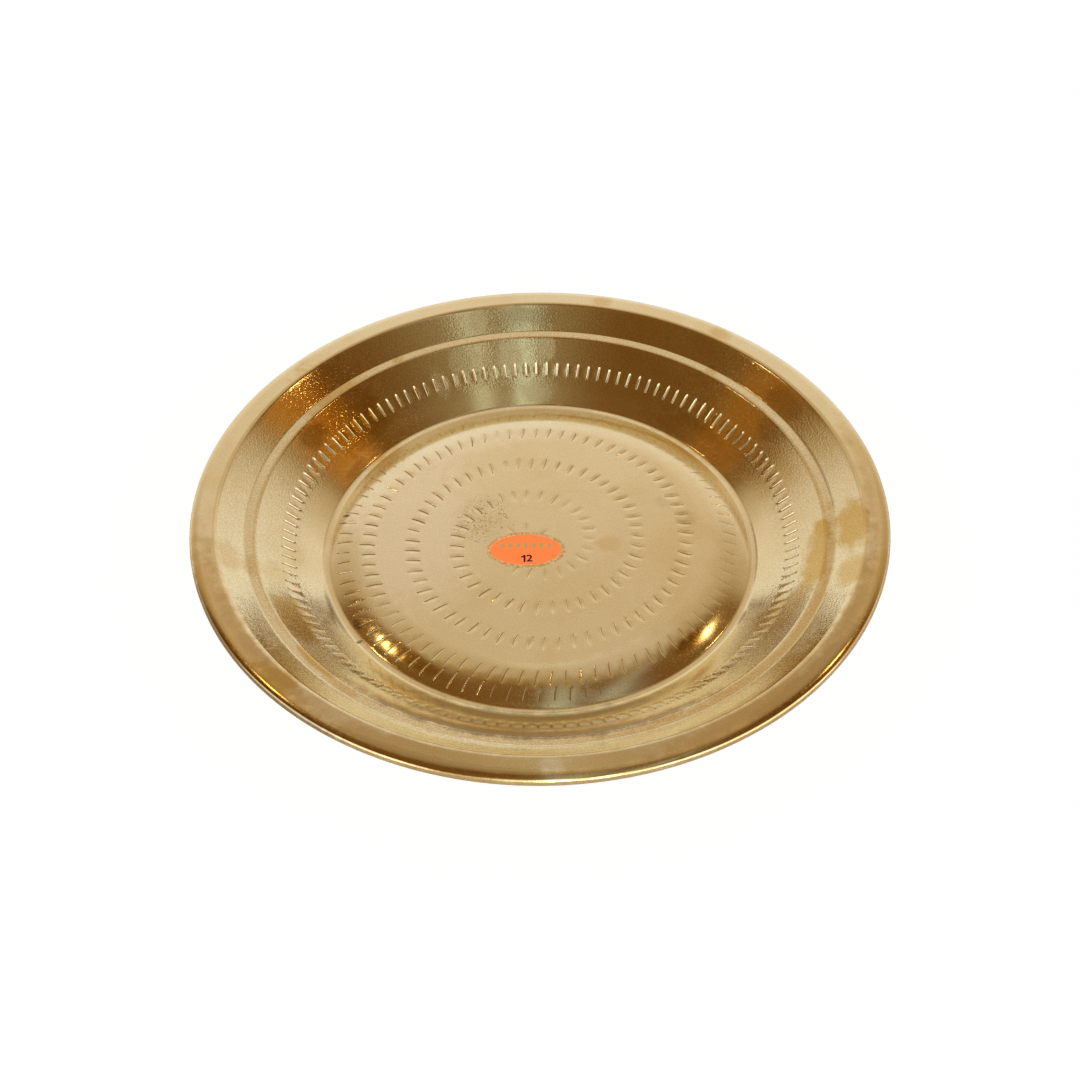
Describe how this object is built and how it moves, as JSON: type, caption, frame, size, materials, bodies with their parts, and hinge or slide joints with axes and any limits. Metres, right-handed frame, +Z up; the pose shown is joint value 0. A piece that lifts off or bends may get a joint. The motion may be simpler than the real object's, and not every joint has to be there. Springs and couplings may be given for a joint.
{
  "type": "dough kneading plate",
  "caption": "Wide shallow round brass dish for kneading dough, with a stepped conical wall, a rolled rim, a base ring and a raised floor decorated with a spiral of chisel marks.",
  "frame": {"origin": "middle of the plane that the base ring stands on", "axes": "+Z up along the axis of the plate; -Y towards the side from which the size number reads upright"},
  "size_m": [0.3048, 0.3048, 0.0319],
  "materials": {
    "spun_brass": "polished, with fine grain and light tarnish",
    "edge_wire": "drawn steel wire, dull",
    "sticker_paper": "orange paper with a gold border, slightly glossy"
  },
  "bodies": {
    "root": {"plate": "spun_brass", "rim_wire": "edge_wire", "size_sticker": "sticker_paper"}
  },
  "joints": []
}
